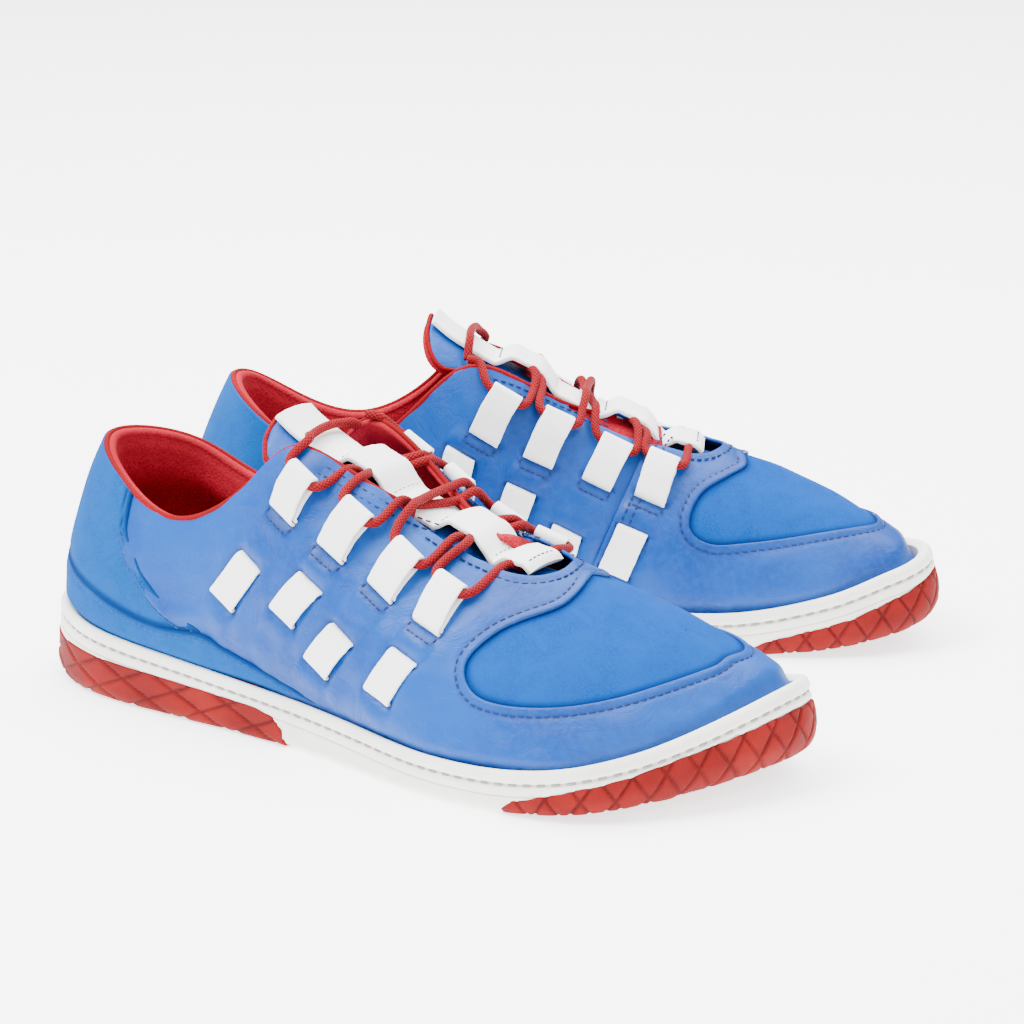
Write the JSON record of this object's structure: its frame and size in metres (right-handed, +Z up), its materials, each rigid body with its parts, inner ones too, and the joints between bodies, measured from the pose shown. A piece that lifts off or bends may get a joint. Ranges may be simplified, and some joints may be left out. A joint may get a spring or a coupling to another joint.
{
  "type": "pair of low lace-up sports shoes",
  "caption": "Pair of low lace-up sports shoes in blue leather and suede, with folded white lace straps, red laces and a white cup sole with red rubber heel and toe.",
  "frame": {"origin": "on the floor, under the middle of the pair's bounding box", "axes": "+X towards the toes along the line that halves the angle between the shoes, +Y from the right shoe to the left shoe, +Z up"},
  "size_m": [0.292, 0.2872, 0.113],
  "materials": {
    "blue_leather": "smooth blue leather with a soft sheen and fine creases",
    "blue_suede": "matte napped blue suede",
    "white_leather": "smooth off-white coated leather",
    "red_lining": "matte red knitted lining",
    "red_footbed": "matte red fabric over foam",
    "red_piping": "thin red piping",
    "red_lace": "round woven red lace",
    "white_rubber": "satin off-white rubber with a stitched groove",
    "red_rubber": "matte red rubber with a diamond tread",
    "foam": "open-cell foam, hidden",
    "fibreboard": "pressed fibre stiffener, hidden"
  },
  "bodies": {
    "right_shoe": {"right_main_leather": "blue_leather", "right_inner_quarter": "blue_leather", "right_vamp_suede": "blue_suede", "right_heel_counter": "blue_suede", "right_heel_band": "blue_suede", "right_lining": "red_lining", "right_collar_foam": "foam", "right_heel_stiffener": "fibreboard", "right_toe_stiffener": "fibreboard", "right_heel_outsole": "red_rubber", "right_toe_outsole": "red_rubber", "right_cupsole": "white_rubber", "right_insole_board": "fibreboard", "right_footbed": "red_footbed", "right_lace_strap_outer_1": "white_leather", "right_lace_strap_outer_2": "white_leather", "right_lace_strap_outer_3": "white_leather", "right_lace_strap_outer_4": "white_leather", "right_lace_strap_inner_1": "white_leather", "right_lace_strap_inner_2": "white_leather", "right_lace_strap_inner_3": "white_leather", "right_lace_strap_inner_4": "white_leather", "right_collar_piping": "red_piping", "right_lace": "red_lace"},
    "right_tongue": {"right_tongue_leather": "blue_leather", "right_tongue_foam": "foam", "right_tongue_lining": "red_lining", "right_tongue_strap": "white_leather"},
    "left_shoe": {"left_main_leather": "blue_leather", "left_inner_quarter": "blue_leather", "left_vamp_suede": "blue_suede", "left_heel_counter": "blue_suede", "left_heel_band": "blue_suede", "left_lining": "red_lining", "left_collar_foam": "foam", "left_heel_stiffener": "fibreboard", "left_toe_stiffener": "fibreboard", "left_heel_outsole": "red_rubber", "left_toe_outsole": "red_rubber", "left_cupsole": "white_rubber", "left_insole_board": "fibreboard", "left_footbed": "red_footbed", "left_lace_strap_outer_1": "white_leather", "left_lace_strap_outer_2": "white_leather", "left_lace_strap_outer_3": "white_leather", "left_lace_strap_outer_4": "white_leather", "left_lace_strap_inner_1": "white_leather", "left_lace_strap_inner_2": "white_leather", "left_lace_strap_inner_3": "white_leather", "left_lace_strap_inner_4": "white_leather", "left_collar_piping": "red_piping", "left_lace": "red_lace"},
    "left_tongue": {"left_tongue_leather": "blue_leather", "left_tongue_foam": "foam", "left_tongue_lining": "red_lining", "left_tongue_strap": "white_leather"}
  },
  "joints": [
    {"name": "right_tongue_tilt", "type": "hinge", "parent": "right_shoe", "child": "right_tongue", "pos_m": [0.05336, -0.08396, 0.064], "axis": [0.2495, 0.9684, 0], "range_deg": [-2, 10], "deforming": ["right_lace"]},
    {"name": "left_tongue_tilt", "type": "hinge", "parent": "left_shoe", "child": "left_tongue", "pos_m": [0.05936, 0.08396, 0.064], "axis": [-0.2495, 0.9684, 0], "range_deg": [-2, 10], "deforming": ["left_lace"]},
    {"name": "left_shoe_slide", "type": "slide", "parent": "right_shoe", "child": "left_shoe", "axis": [0, 1, 0], "range_m": [0, 0.15]}
  ]
}
